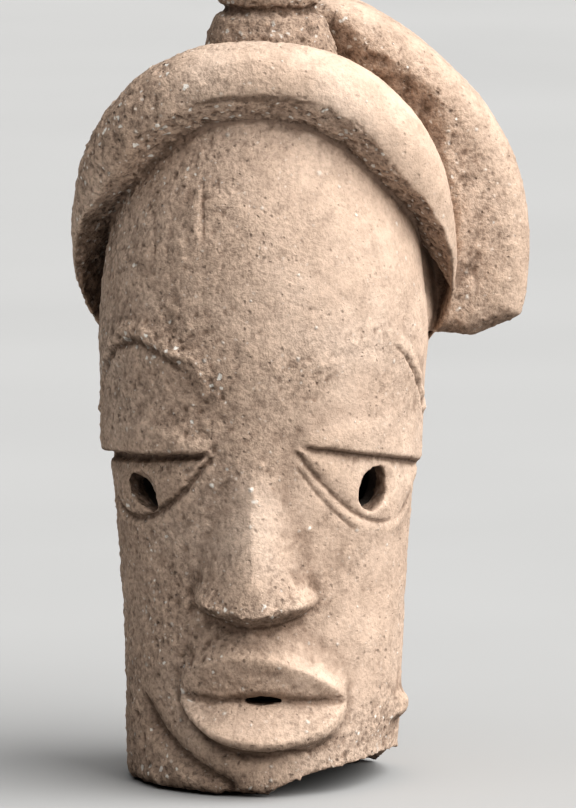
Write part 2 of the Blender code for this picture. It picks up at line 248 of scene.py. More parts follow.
def grid_faces(rows, columns, wrap_rows=False):
    """Quads between neighbouring rows of points whose columns run round."""
    last = rows if wrap_rows else rows - 1
    faces = []
    for r in range(last):
        here, there = r * columns, ((r + 1) % rows) * columns
        for c in range(columns):
            d = (c + 1) % columns
            faces.append((here + c, here + d, there + d, there + c))
    return faces


def closed_loft(rows):
    """A closed shape from rows of points, with a fan of faces over the first and the last row."""
    count, columns = rows.shape[0], rows.shape[1]
    points = rows.reshape(-1, 3)
    ends = np.array([rows[0].mean(0), rows[-1].mean(0)])
    faces = grid_faces(count, columns)
    first, second = count * columns, count * columns + 1
    for c in range(columns):
        d = (c + 1) % columns
        faces.append((first, d, c))
        faces.append((second, (count - 1) * columns + c, (count - 1) * columns + d))
    return np.vstack([points, ends]), faces


def head_rows():
    """Rows of points from the base up to the crown, close together, that follow the lids."""
    columns = 420
    spread = np.linspace(-math.pi, math.pi, columns, endpoint=False)
    turn = spread - 0.30 * np.sin(spread)
    levels = list(np.arange(0.0, TEMPLE_Z, 0.8))
    for angle in np.linspace(0.0, math.pi / 2.0, 110, endpoint=False):
        levels.append(TEMPLE_Z + (CROWN - TEMPLE_Z) * math.sin(angle))
    rows = []
    for level in levels:
        z = level + bell(level, LID_Z, 24.0) * (lid_line(turn) + 0.2 - LID_Z)
        rows.append(on_head(turn, np.maximum(z, 0.0)))
    return closed_loft(np.array(rows))


def sweep_frames(path):
    """Two directions square to a closed path: away from the middle of the hair, and across."""
    tangent = np.roll(path, -1, axis=0) - np.roll(path, 1, axis=0)
    tangent /= np.linalg.norm(tangent, axis=1)[:, None]
    outward = path * np.array([1.0, 0.0, 1.0]) - np.array([0.0, 0.0, HAIR_Z])
    outward -= tangent * np.sum(outward * tangent, axis=1)[:, None]
    outward /= np.linalg.norm(outward, axis=1)[:, None]
    return outward, np.cross(tangent, outward)


def roll_path(count):
    """The roll's centre line: over the forehead, down past the temples and round the nape."""
    sweep = np.linspace(0.0, 2.0 * math.pi, count, endpoint=False)
    side = np.sign(np.sin(sweep)) * np.abs(np.sin(sweep)) ** ROLL_SHOULDER
    c = np.sign(np.cos(sweep)) * np.abs(np.cos(sweep)) ** ROLL_SHOULDER
    x = ROLL_SWEEP * side * np.where(c < 0.0, 1.0 - 0.10 * c * c, 1.0)
    y = 5.0 - np.where(c >= 0.0, 43.0, 57.0) * c
    z = HAIR_Z + np.where(c >= 0.0, 78.0, 60.0) * c
    return sweep, np.stack([x, y, z], axis=-1)


def roll():
    """The thick roll: round, but for a flat under-face that turns to the front down its sides."""
    sweep, path = roll_path(260)
    outward, across = sweep_frames(path)
    size = (ROLL_R - 0.1) * (1.0 - 0.12 * smooth(0.2, 1.0, -np.cos(sweep)))
    down_the_side = np.abs(np.mod(sweep + math.pi, 2.0 * math.pi) - math.pi)
    turned = smooth(math.radians(50), math.radians(102), down_the_side)
    cut = 1.0 - smooth(math.radians(108), math.radians(140), down_the_side)
    front_edge = np.radians(101.0 - 88.0 * turned + 4.5 * layers(path, 9.0, 63))[:, None]
    inner_edge = np.radians(178.0 + 82.0 * turned)[:, None]
    along_arc = np.linspace(0.0, 1.0, 56, endpoint=False)[None, :]
    along_cut = np.linspace(0.0, 1.0, 36, endpoint=False)[None, :]
    back = inner_edge + (front_edge + 2.0 * math.pi - inner_edge) * along_arc
    front = front_edge + (inner_edge - front_edge) * along_cut
    k = (cut * (0.78 + 0.22 * turned))[:, None]
    out_cut = np.cos(front_edge) * (1.0 - along_cut) + np.cos(inner_edge) * along_cut
    fore_cut = np.sin(front_edge) * (1.0 - along_cut) + np.sin(inner_edge) * along_cut
    out = np.hstack([np.cos(back), k * out_cut + (1.0 - k) * np.cos(front)]) * size[:, None]
    fore = np.hstack([np.sin(back), k * fore_cut + (1.0 - k) * np.sin(front)]) * size[:, None]
    points = path[:, None, :] + outward[:, None, :] * out[:, :, None] + across[:, None, :] * fore[:, :, None]
    return points.reshape(-1, 3), grid_faces(len(sweep), out.shape[1], wrap_rows=True)


def bun():
    """Two stacked tiers with a groove between them, a little wider than deep."""
    top, foot = CROWN + BUN_H, CROWN - 14.0
    profile = [(0.96, foot), (1.02, top - 36), (1.0, top - 31), (0.91, top - 22), (0.83, top - 16.2),
               (0.68, top - 13.8), (0.66, top - 12.2), (0.78, top - 10.2), (0.81, top - 7.6),
               (0.76, top - 4.6), (0.62, top - 2.2), (0.36, top - 0.9), (0.05, top - 0.4)]
    widths, heights = np.array(profile).T
    widths = widths * BUN_R
    steps = np.linspace(0.0, len(profile) - 1.0, 90)
    z = np.interp(steps, np.arange(len(profile)), heights)
    radius = np.interp(steps, np.arange(len(profile)), widths)
    around = np.linspace(0.0, 2.0 * math.pi, 120, endpoint=False)
    x = 2.5 + radius[:, None] * np.cos(around)
    y = 1.0 + 0.8 * radius[:, None] * np.sin(around)
    return closed_loft(np.stack([x, y, np.broadcast_to(z[:, None], x.shape)], axis=-1))


def wing_outline():
    """The wing seen from the front, as (x, z) about the arc's centre, without its soft edge."""
    first, last = math.radians(-14), math.radians(103)
    sweep = np.linspace(first, last, 60)
    flat = 0.035 * bell(sweep, math.radians(41), 0.40)
    fall = 0.24 * (1.0 - smooth(first, math.radians(22), sweep))
    rounding = 10.0 * (1.0 - smooth(first, first + math.radians(11), sweep)) ** 2
    reach = WING_R * (1.0 - flat - fall) - WING_EDGE - rounding
    points = list(zip(reach * np.sin(sweep), reach * np.cos(sweep)))
    points += [(88.0, -28.0), (78.0, -27.0), (66.0, -28.0), (40.0, -24.0), (12.0, 26.0), (-12.0, 26.0)]
    return points


def wing(group):
    """The upright slab with soft edges behind the roll, as a bevelled flat curve."""
    curve = bpy.data.curves.new("wing_line", "CURVE")
    curve.dimensions = "2D"
    curve.fill_mode = "BOTH"
    curve.extrude = WING_THICK / 2.0 - WING_EDGE
    curve.bevel_depth = WING_EDGE - 0.1
    curve.bevel_resolution = 10
    spline = curve.splines.new("POLY")
    outline = wing_outline()
    spline.points.add(len(outline) - 1)
    spline.use_cyclic_u = True
    for knot, (x, z) in zip(spline.points, outline):
        knot.co = (x, z, 0.0, 1.0)
    slab = bpy.data.objects.new("wing_line", curve)
    group.objects.link(slab)
    graph = bpy.context.evaluated_depsgraph_get()
    mesh = bpy.data.meshes.new_from_object(slab.evaluated_get(graph))
    bm = bmesh.new()
    bm.from_mesh(mesh)
    bmesh.ops.remove_doubles(bm, verts=bm.verts, dist=1e-4)
    middle = Matrix.Translation((0.0, WING_FRONT + WING_THICK / 2.0, HAIR_Z))
    bm.transform(middle @ Matrix.Rotation(math.pi / 2, 4, "X"))
    bm.to_mesh(mesh)
    bm.free()
    points = np.array([v.co for v in mesh.vertices], float)
    faces = [tuple(f.vertices) for f in mesh.polygons]
    bpy.data.objects.remove(slab)
    bpy.data.meshes.remove(mesh)
    return points, faces


def cavity():
    """The hollow inside, a wall's thickness in from the plain head, running out through the base."""
    top, columns = CROWN - VAULT, 96
    rows = []
    around = np.linspace(-math.pi, math.pi, columns, endpoint=False)
    profile = [(BASE_R - WALL, -15.0)]
    profile += [(float(column(z)) - WALL, z) for z in np.linspace(0.0, TEMPLE_Z, 24)]
    for sweep in np.linspace(math.pi / 2, 0.06, 24)[1:]:
        z = TEMPLE_Z + (top - TEMPLE_Z) * math.cos(sweep)
        profile.append(((TEMPLE_R - WALL) * math.sin(sweep), z))
    for radius, z in profile:
        x, y = radius * np.sin(around), -radius * np.cos(around)
        rows.append(np.stack([x, y, np.full(columns, z)], axis=-1))
    return closed_loft(np.array(rows))


def egg(centre, half_sizes, turn, tilt, rough, seed):
    """A rough ellipsoid, rolled about Y by tilt and then turned about Z."""
    columns = 64
    around = np.linspace(0.0, 2.0 * math.pi, columns, endpoint=False)
    rows = []
    for angle in np.linspace(0.03, math.pi - 0.03, 40):
        x, y = math.sin(angle) * np.cos(around), math.sin(angle) * np.sin(around)
        rows.append(np.stack([x, y, np.full(columns, -math.cos(angle))], axis=-1))
    points, faces = closed_loft(np.array(rows))
    points = points * np.array(half_sizes)
    points *= 1.0 + rough * layers(points + seed * 9.0, 7.0, seed)[:, None]
    lean = Matrix.Rotation(turn, 3, "Z") @ Matrix.Rotation(tilt, 3, "Y")
    return points @ np.array(lean).T + np.array(centre), faces


def to_object(name, shape, group):
    """A new object from points and faces, with its faces turned outward."""
    points, faces = shape
    mesh = bpy.data.meshes.new(name)
    mesh.from_pydata([tuple(p) for p in points], [], faces)
    mesh.update()
    bm = bmesh.new()
    bm.from_mesh(mesh)
    bmesh.ops.recalc_face_normals(bm, faces=bm.faces)
    bm.to_mesh(mesh)
    bm.free()
    obj = bpy.data.objects.new(name, mesh)
    group.objects.link(obj)
    return obj


def apply_modifier(obj, step):
    """Keep what a modifier makes of the object's mesh, and drop the modifier."""
    graph = bpy.context.evaluated_depsgraph_get()
    graph.update()
    mesh = bpy.data.meshes.new_from_object(obj.evaluated_get(graph))
    obj.modifiers.remove(step)
    old = obj.data
    obj.data = mesh
    bpy.data.meshes.remove(old)


def remesh(obj):
    """Melt the object's shapes into one even skin."""
    step = obj.modifiers.new("remesh", "REMESH")
    step.mode = "VOXEL"
    step.voxel_size = VOXEL
    apply_modifier(obj, step)


def cut_away(obj, shape, group):
    """Cut a closed shape out of the head."""
    cutter = to_object("cutter", shape, group)
    step = obj.modifiers.new("cut", "BOOLEAN")
    step.operation = "DIFFERENCE"
    step.solver = "MANIFOLD"
    step.object = cutter
    apply_modifier(obj, step)
    bpy.data.objects.remove(cutter)


def points_of(mesh):
    """Where a mesh's points are, as rows of x, y and z."""
    values = np.zeros(len(mesh.vertices) * 3)
    mesh.vertices.foreach_get("co", values)
    return values.reshape(-1, 3)


def normals_of(mesh):
    """Which way the surface faces at each point of a mesh."""
    values = np.zeros(len(mesh.vertices) * 3)
    mesh.vertex_normals.foreach_get("vector", values)
    return values.reshape(-1, 3)


def distance_to(points, path):
    """Distance from each point to a path, and the share of the way along it where it is nearest."""
    steps = np.linspace(0.0, len(path) - 1.0, len(path) * 6)
    dense = np.stack([np.interp(steps, np.arange(len(path)), path[:, i]) for i in range(3)], axis=-1)
    best = np.full(len(points), 1e9)
    where = np.zeros(len(points))
    near = np.all((points > dense.min(0) - 14.0) & (points < dense.max(0) + 14.0), axis=1)
    chosen = np.where(near)[0]
    for start in range(0, len(chosen), 20000):
        part = chosen[start:start + 20000]
        away = ((points[part, None, :] - dense[None, :, :]) ** 2).sum(2)
        nearest = away.argmin(1)
        best[part] = np.sqrt(away[np.arange(len(part)), nearest])
        where[part] = nearest / (len(dense) - 1.0)
    return best, where


def brow_path(side):
    """The brow's arch, from beside the nose to the outer end of the lid; side is -1 on the left."""
    turn = np.linspace(BROW_IN, BROW_OUT, 24)
    inner = 21.0 * (np.maximum(BROW_PEAK - turn, 0.0) / (BROW_PEAK - BROW_IN)) ** 1.5
    outer = 38.0 * (np.maximum(turn - BROW_PEAK, 0.0) / (BROW_OUT - BROW_PEAK)) ** 1.7
    return on_head(side * turn, BROW_Z - inner - outer)


def eye_path(side, lower, start=0.02, end=0.96):
    """A path that follows the eye's lower edge, lower units below it."""
    turn = EYE_IN + (EYE_OUT - EYE_IN) * np.linspace(start, end, 26)
    return on_head(side * turn, eye_contour(side * turn) - lower)


def seen_at(x, heights):
    """A path over the face that the camera sees as upright, x to the right of the head's axis."""
    heights = np.asarray(heights, float)
    return on_head(np.arcsin(x / column(heights)) + CAMERA_TURN, heights)


def jaw_path():
    """The groove from the cheek down to the chin on the left."""
    t = np.linspace(0.0, 1.0, 30)
    return on_head(-np.radians(60.0 - 50.0 * t), 46.0 - 41.0 * t ** 0.62)


def carve_brows(points, crumble):
    """The left ridge stands, rough and worn; of the right one a groove and some pits are left."""
    away, along = distance_to(points, brow_path(-1.0))
    whole = (1.0 - smooth(0.62, 0.95, along)) * smooth(0.0, 0.12, along)
    lift = (2.3 + 2.0 * crumble) * whole * bell(away, 0.0, 4.0)
    away, along = distance_to(points, brow_path(-1.0) - np.array([0.0, 0.0, 4.8]))
    lift -= 1.5 * bell(away, 0.0, 1.5) * smooth(0.06, 0.2, along)
    away, along = distance_to(points, brow_path(1.0))
    worn = smooth(0.50, 0.75, along)
    lift += (1.0 * worn + 0.5 + 1.3 * crumble) * bell(away, 0.0, 4.0) * smooth(0.0, 0.06, along)
    away, along = distance_to(points, brow_path(1.0) - np.array([0.6, 0.0, 2.8]))
    lift -= 1.6 * bell(away, 0.0, 0.95) * smooth(0.58, 0.68, along)
    eroded = bell(np.linalg.norm(points - on_head(math.radians(22), 185.0), axis=1), 0.0, 9.0)
    return lift - 1.5 * eroded * np.clip(crumble * 1.6, 0.0, 1.0)


def carve_eyes(points):
    """A groove under each eyeball; the right eye has a second, outer groove and a pale rim between."""
    lift = np.zeros(len(points))
    for side, depth, width, fading in ((-1.0, 1.7, 1.5, 0.0), (1.0, 1.0, 0.8, 0.75)):
        away, along = distance_to(points, eye_path(side, 0.4))
        lift -= depth * (1.0 - fading * smooth(0.50, 0.72, along)) * bell(away, 0.0, width)
        away = distance_to(points, eye_path(side, 4.0))[0]
        lift += 0.5 * bell(away, 0.0, 2.2)
    away, along = distance_to(points, eye_path(1.0, 6.8, 0.02, 0.42))
    lift -= 0.75 * bell(away, 0.0, 0.75) * (1.0 - smooth(0.75, 1.0, along))
    pale_rim = on_head(math.radians(64), PUPIL_Z - 13.0)
    lift += 0.9 * bell(np.linalg.norm(points - pale_rim, axis=1), 0.0, 7.0)
    return lift


def carve_jaw(points, crumble):
    """A curved valley with a sharper line in it, from the cheek down to the chin."""
    path = jaw_path()
    away, along = distance_to(points, path)
    fade = smooth(0.0, 0.12, along)
    lift = -3.0 * bell(away, 0.0, 4.8) * fade
    lift -= (1.2 + 0.6 * crumble) * bell(away, 0.0, 1.3) * fade
    away, along = distance_to(points, path + np.array([-5.0, 0.0, -4.0]))
    return lift + 0.9 * bell(away, 0.0, 3.0) * smooth(0.0, 0.2, along)


def carve_forehead(points):
    """One upright cut with a nick and a light edge on its left, and faint strokes beside it."""
    path = seen_at(-26.0, np.linspace(269.0, 243.0, 16))
    away, along = distance_to(points, path)
    lift = -1.1 * bell(away, 0.0, 0.9) * np.sin(math.pi * np.clip(along, 0.03, 0.97)) ** 0.5
    away, along = distance_to(points, path - np.array([2.8, 0.0, 0.0]))
    lift += 0.55 * bell(away, 0.0, 2.2) * smooth(0.2, 0.7, along)
    nick = seen_at(-24.6, np.array([261.0]))[0]
    lift -= 0.9 * bell(np.linalg.norm(points - nick, axis=1), 0.0, 1.5)
    strokes = ((-53.0, 246.0, 216.0), (-47.0, 256.0, 228.0), (-40.0, 262.0, 240.0), (-33.0, 250.0, 232.0))
    for x, top, foot in strokes:
        away, along = distance_to(points, seen_at(x, np.linspace(top, foot, 12)))
        lift -= 0.35 * bell(away, 0.0, 1.1) * np.sin(math.pi * along)
    return lift


def pale_grains():
    """Where the largest pale grains show: the bridge of the nose, the left eye, the left mouth corner."""
    spots = [(-5.0, 136.0, 1.6), (-3.0, 131.0, 1.7), (-1.0, 146.0, 1.1), (-4.0, 121.0, 1.0)]
    spots += [(-22.0, 137.0, 1.4), (-28.0, 138.0, 1.0), (-41.0, 178.0, 1.1), (-30.0, 172.0, 1.0)]
    spots += [(-34.5, 45.0, 1.8), (20.0, 118.0, 1.0)]
    return [(seen_at(x, np.array([z]))[0], size) for x, z, size in spots]


def carve(points):
    """Heights of the carved lines and ridges, in units along the normals."""
    crumble = layers(points, 4.5, 61)
    lift = carve_brows(points, crumble) + carve_jaw(points, crumble)
    lift += carve_eyes(points) + carve_forehead(points)
    for spot, size in pale_grains():
        lift += 0.8 * bell(np.linalg.norm(points - spot, axis=1), 0.0, size)
    return lift


def dome_wing(points):
    """How far back the wing's front goes: less on a ridge, more to its rim and behind the roll above."""
    x, z = points[:, 0], points[:, 2] - HAIR_Z
    reach, sweep = np.hypot(x, z), np.arctan2(x, z)
    ridge = 86.0 + 13.5 * (1.0 - smooth(math.radians(50), math.radians(68), sweep))
    ridge = ridge + 9.0 * (1.0 - smooth(math.radians(16), math.radians(27), sweep))
    ridge = ridge + 3.0 * layers(points, 11.0, 91)
    front = 1.0 - smooth(WING_FRONT + 6.0, WING_FRONT + 24.0, points[:, 1])
    front = front * (points[:, 1] > WING_FRONT - 3.0) * (points[:, 2] > 180.0)
    front = front * smooth(-0.3, 0.1, sweep)
    front = front * smooth(1.0, 5.0, np.hypot(x, points[:, 1]) - column(points[:, 2]))
    inward = np.clip(ridge - reach, 0.0, 30.0)
    outward = np.clip(reach - ridge, 0.0, 30.0)
    beside = smooth(math.radians(84), math.radians(96), sweep) * (1.0 - smooth(79.0, 84.0, reach))
    toward_head = 0.62 * inward ** 2 / (inward + 4.0) / (1.0 + inward / 45.0)
    return front * (toward_head + 0.27 * outward + 9.0 * beside)


def facing_in(points, normals):
    """How much a surface of the hair faces down or in towards the head, from 0 to 1."""
    x, z = points[:, 0], points[:, 2] - HAIR_Z
    reach = np.maximum(np.hypot(x, z), 1.0)
    return smooth(0.10, 0.60, -(normals[:, 0] * x + normals[:, 2] * z) / reach)


def on_the_roll(points):
    """1 on the roll and 0 elsewhere, with a soft change between."""
    path = roll_path(88)[1]
    away = distance_to(points, np.vstack([path, path[:1]]))[0]
    return 1.0 - smooth(ROLL_R - 0.5, ROLL_R + 1.5, away)


def within_head(points):
    """Whether each point belongs to the hollow's wall."""
    reach, z = np.hypot(points[:, 0], points[:, 1]), points[:, 2]
    return (reach < column(z) - 0.6 * WALL) & (z < CROWN - 8.0)


def on_the_bun(points, on_roll):
    """Whether each point belongs to the bun."""
    reach = np.hypot(points[:, 0], points[:, 1])
    return (points[:, 2] > CROWN - 6.0) & (reach < 36.0) & (points[:, 1] < 26.0) & (on_roll < 0.5)


def roughness_map(points, normals):
    """From 0, smooth, to 1, eroded and gritty, for each part of the surface."""
    turn = np.arctan2(points[:, 0], -points[:, 1])
    reach, z = np.hypot(points[:, 0], points[:, 1]), points[:, 2]
    on_roll = on_the_roll(points)
    under_roll = facing_in(points, normals) * on_roll
    # Rougher to the left, and the top and right of the roll are the smoothest
    rough = 0.34 + 0.32 * layers(points, 30.0, 5)
    rough = rough + 0.34 * smooth(-15.0, 40.0, -points[:, 0]) - 0.12 * smooth(0.0, 45.0, points[:, 0])
    rough = np.where(on_roll > 0.5, 0.12 + 0.85 * under_roll, rough)
    rough = rough + 0.80 * smooth(18.0, 44.0, -points[:, 0]) * on_roll * (1.0 - under_roll)
    to_brow = distance_to(points, brow_path(-1.0))[0]
    rough = rough + 0.45 * bell(to_brow, 0.0, 5.5)
    on_wing = smooth(14.0, 18.0, points[:, 1]) * smooth(1.0, 4.0, reach - column(z)) * (1.0 - on_roll)
    on_wing = on_wing * (points[:, 0] > -40.0) * (z > 175.0)
    outer = smooth(0.15, 0.8, np.hypot(np.clip(normals[:, 0], 0, 1), np.clip(normals[:, 2], 0, 1)))
    rough = np.where(on_wing > 0.5, 0.70 - 0.36 * outer + 0.25 * layers(points, 16.0, 29), rough)
    rough = np.where(on_the_bun(points, on_roll), 0.85, rough)
    rough = rough + 0.35 * (1.0 - smooth(4.0, 14.0, z))
    # The right jaw, the worn right brow, the nose base, the lower lip and the right of the forehead
    for amount, level, tall, middle, wide in ((0.50, 20.0, 20.0, 1.0, 0.5), (0.45, 186.0, 11.0, 0.38, 0.20),
                                              (0.45, 83.0, 7.0, 0.0, 0.42), (-0.30, 33.0, 9.0, -0.22, 0.35),
                                              (-0.06, 225.0, 40.0, 0.7, 0.5)):
        rough = rough + amount * bell(z, level, tall) * bell(turn, middle, wide)
    return np.clip(np.where(within_head(points), 0.12, rough), 0.0, 1.0)


def shade_and_streaks_map(points, normals):
    """From 0, clean, to 1, dark: painted shade under the roll, on down-facing surfaces, in the jaw's groove,
    under the left of the lower lip and along the foot; the bun a little darker all over; and dark streaks on
    the left of the forehead.
    """
    turn, z = np.arctan2(points[:, 0], -points[:, 1]), points[:, 2]
    on_roll = on_the_roll(points)
    # Painted shade under the roll, mostly down its sides and less on the right
    under_roll = facing_in(points, normals) * on_roll
    side_on = smooth(math.radians(50), math.radians(85), np.arctan2(np.abs(points[:, 0]), z - HAIR_Z))
    shade_and_streaks = under_roll * (0.12 + 0.88 * side_on * (1.0 - 0.65 * smooth(0.0, 20.0, points[:, 0])))
    # Painted shade on surfaces that face down, such as under the nose
    shade_and_streaks = np.maximum(shade_and_streaks, smooth(0.30, 0.70, -normals[:, 2]) * (on_roll < 0.5))
    shade_and_streaks = np.maximum(shade_and_streaks, 0.40 * on_the_bun(points, on_roll))
    # Painted shade along the jaw's groove
    to_jaw, along = distance_to(points, jaw_path())
    shade_and_streaks = np.maximum(shade_and_streaks, 0.80 * bell(to_jaw, 0.0, 5.4) * smooth(0.0, 0.2, along))
    # Painted shade in the crease under the left of the lower lip
    s = np.clip((turn - MOUTH_TURN) / MOUTH_SPAN, -1.0, 1.0)
    under_lip = bell(lip_foot(s, mouth_line(s)) - 4.4 - z, 0.0, 2.6) * (1.0 - smooth(-0.2, 0.5, s))
    shade_and_streaks = np.maximum(shade_and_streaks, 0.8 * under_lip * smooth(-0.95, -0.7, s) * (np.abs(turn) < 1.2))
    streaks = smooth(0.0, 0.6, layers(points * np.array([1.0, 1.0, 0.14]), 5.0, 45))
    streaks = streaks * bell(turn, -0.72, 0.42) * bell(z, 236.0, 40.0) * (on_roll < 0.5)
    shade_and_streaks = np.maximum(shade_and_streaks, 0.36 * streaks)
    # Painted shade along the foot, where the head meets the floor
    shade_and_streaks = np.maximum(shade_and_streaks, 0.6 * (1.0 - smooth(2.0, 9.0, z + 3.0 * noise(points, 7.0, 87))))
    return shade_and_streaks * (1.0 - within_head(points))


def weather(obj):
    """Carve the lines, then wear the surface: uneven clay, pits, lost grains and broken edges."""
    mesh = obj.data
    points, normals = points_of(mesh), normals_of(mesh)
    rough, outside = roughness_map(points, normals), 1.0 - within_head(points)
    back = dome_wing(points) * outside
    lift = carve(points)
    # Hand-built unevenness, ripples, and a fine skin
    lift += 0.60 * layers(points, 34.0, 11, 2)
    lift += 0.34 * layers(points, 10.0, 17, 2) * (0.5 + rough)
    lift += 0.55 * layers(points, 3.4, 23, 2) * (0.15 + rough) ** 1.1
    # Large and small pits where grains fell out, grains that stand, and coarse wear
    shifted = points + 1.2 * noise(points, 2.5, 81)[:, None]
    lift -= 1.5 * grains(shifted, 3.7, 0.28, 31) * rough ** 1.5
    lift -= 0.60 * grains(shifted, 2.9, 0.26, 41) * (0.20 + 0.80 * rough)
    lift += 0.85 * grains(shifted, 3.2, 0.28, 51) * (0.20 + 0.80 * rough)
    lift += 0.80 * layers(points, 5.6, 67, 2) * rough ** 2
    # A ragged edge along the hair's under-faces, and a crumbled foot
    ragged = facing_in(points, normals) * (points[:, 2] > 205.0)
    lift -= 5.0 * ragged * (1.0 - ragged) * np.clip(layers(points, 5.0, 63, 2), 0.0, 1.0)
    foot = (1.0 - smooth(0.0, 6.5, points[:, 2])) ** 1.6
    lift -= foot * (2.2 + 1.6 * layers(points, 9.0, 71))
    points = points + normals * (lift * outside - 0.1)[:, None]
    points[:, 1] += back
    points[:, 2] = np.maximum(points[:, 2], 0.0)
    mesh.vertices.foreach_set("co", points.ravel())
    mesh.update()


def thin_out(obj, most):
    """Collapse the flattest places until the piece keeps to its number of triangles."""
    triangles = sum(len(f.vertices) - 2 for f in obj.data.polygons)
    step = obj.modifiers.new("thin", "DECIMATE")
    step.ratio = min(1.0, most / triangles)
    apply_modifier(obj, step)


def place(obj):
    """From drawing units to metres in the frame, kept within the solid's own box."""
    points = points_of(obj.data) * UNIT + np.array(AXIS)
    points = np.clip(points, np.array(low), np.array(high))
    obj.data.vertices.foreach_set("co", points.ravel())
    obj.data.update()


def hollows(mesh, points, normals):
    """How deep each point lies below its surroundings, from 0 on edges to 1 in pits."""
    edges = np.zeros(len(mesh.edges) * 2, np.int64)
    mesh.edges.foreach_get("vertices", edges)
    a, b = edges.reshape(-1, 2).T
    count = np.maximum(np.bincount(np.concatenate([a, b]), minlength=len(points)), 1)
    soft = points.copy()
    for _ in range(9):
        total = np.zeros_like(soft)
        for i in range(3):
            total[:, i] = np.bincount(a, soft[b, i], len(points)) + np.bincount(b, soft[a, i], len(points))
        soft = total / count[:, None]
    deep = ((soft - points) * normals).sum(1)
    return np.clip(0.5 + deep * 0.55, 0.0, 1.0)


def pale_map(points, rough):
    """Where pale grains show: the largest, one by one, and smaller ones on rough clay."""
    pale = np.zeros(len(points))
    for spot, size in pale_grains():
        pale = np.maximum(pale, bell(np.linalg.norm(points - spot, axis=1), 0.0, size))
    pale = np.maximum(pale, 1.3 * grains(points, 3.6, 0.08, 99) * rough ** 3)
    pale = np.maximum(pale, 2.2 * grains(points, 2.7, 0.30, 103) * rough ** 2)
    return pale * (0.85 + 0.5 * noise(points, 1.6, 97))


def store_maps(obj):
    """Store the maps that the clay's material reads."""
    mesh = obj.data
    points, normals = points_of(mesh) / UNIT - np.array(AXIS) / UNIT, normals_of(mesh)
    rough = roughness_map(points, normals)
    maps = {"hollow": hollows(mesh, points, normals), "pale": pale_map(points, rough), "gritty": rough,
            "shade_and_streaks": shade_and_streaks_map(points, normals), "painted_dark_inside": within_head(points)}
    for name, values in maps.items():
        attribute = mesh.attributes.new(name, "FLOAT", "POINT")
        attribute.data.foreach_set("value", values.astype(np.float32))


def pupil(side):
    """The cutters of a pierced pupil, a hole that leans outward and a shallow socket round it."""
    right = side > 0.0
    lean, wide, tall, up = (0.30, 8.3, 10.2, 2.0) if right else (0.86, 5.4, 10.2, -0.8)
    middle = on_head(side * (PUPIL_TURN + 0.03), PUPIL_Z + up, -4.0)
    hole = egg(middle, (wide, 26.0, tall), side * PUPIL_TURN * 0.46, side * lean, 0.14, 5)
    middle = on_head(side * (PUPIL_TURN + (0.10 if right else -0.02)), PUPIL_Z + up + 0.5, 2.6)
    socket = egg(middle, (wide + 3.6, 5.4, tall + 3.4), side * PUPIL_TURN, side * lean, 0.14, 8)
    return hole, socket


def fine_head(group):
    """The whole head as one fine mesh."""
    shapes = [head_rows(), roll(), bun(), wing(group)]
    points, faces, start = [], [], 0
    for shape_points, shape_faces in shapes:
        points.append(shape_points)
        faces += [tuple(i + start for i in f) for f in shape_faces]
        start += len(shape_points)
    head = to_object("fired_clay_head", (np.vstack(points), faces), group)
    remesh(head)
    cut_away(head, cavity(), group)
    for side in (-1.0, 1.0):
        for cutter in pupil(side):
            cut_away(head, cutter, group)
    middle = on_head(MOUTH_TURN, MOUTH_Z, -4.0)
    cut_away(head, egg(middle, MOUTH_HOLE_HALF_SIZES, MOUTH_TURN, 0.0, 0.14, 3), group)
    chip = on_head(CHIP_TURN, -4.0, -WALL)
    cut_away(head, egg(chip, CHIP_HALF_SIZES, CHIP_TURN, 0.0, 0.05, 9), group)
    remesh(head)
    weather(head)
    thin_out(head, MOST_TRIANGLES)
    place(head)
    store_maps(head)
    head.data.shade_smooth()
    return head


def node(tree, kind, at, inputs, **settings):
    """A new node with its settings, fed by numbers, colours and the outputs of other nodes."""
    made = tree.nodes.new(kind)
    made.location = at
    for name, value in settings.items():
        setattr(made, name, value)
    for key, value in inputs.items():
        if isinstance(value, bpy.types.NodeSocket):
            tree.links.new(value, made.inputs[key])
        else:
            made.inputs[key].default_value = value
    return made


def ramp(tree, mask, stops, at):
    """Tones along a mask, from (position, colour) pairs."""
    made = node(tree, "ShaderNodeValToRGB", at, {0: mask})
    elements = made.color_ramp.elements
    while len(elements) < len(stops):
        elements.new(0.5)
    for element, (position, tone) in zip(elements, stops):
        element.position = position
        element.color = (*tone, 1.0)
    return made.outputs[0]


def grey(value):
    """The same value three times, for a grey tone or an even vector."""
    return (value, value, value)


def texture(tree, where, size, detail, roughness, at):
    """Noise whose lumps are about size metres across."""
    inputs = {"Vector": where, "Scale": 1.0 / size, "Detail": detail, "Roughness": roughness}
    return node(tree, "ShaderNodeTexNoise", at, inputs)


def stored(tree, name, at):
    """A map that is stored on the mesh."""
    return node(tree, "ShaderNodeAttribute", at, {}, attribute_name=name).outputs["Fac"]


def remap(tree, mask, start, end, first, last, at):
    """A mask with its range from start to end carried over to first to last, and held beyond."""
    return node(tree, "ShaderNodeMapRange", at, {0: mask, 1: start, 2: end, 3: first, 4: last}).outputs[0]


def maths(tree, operation, first, second, at):
    """One mask or number set against another."""
    return node(tree, "ShaderNodeMath", at, {0: first, 1: second}, operation=operation).outputs[0]


def mix(tree, kind, factor, first, second, at):
    """A colour with another one laid over it or multiplied in, as far as the factor says."""
    if isinstance(second, tuple):
        second = (*second, 1.0)
    made = node(tree, "ShaderNodeMix", at, {}, data_type="RGBA", blend_type=kind, clamp_factor=True)
    for socket, value in ((made.inputs[0], factor), (made.inputs[6], first), (made.inputs[7], second)):
        if isinstance(value, bpy.types.NodeSocket):
            tree.links.new(value, socket)
        else:
            socket.default_value = value
    return made.outputs[2]


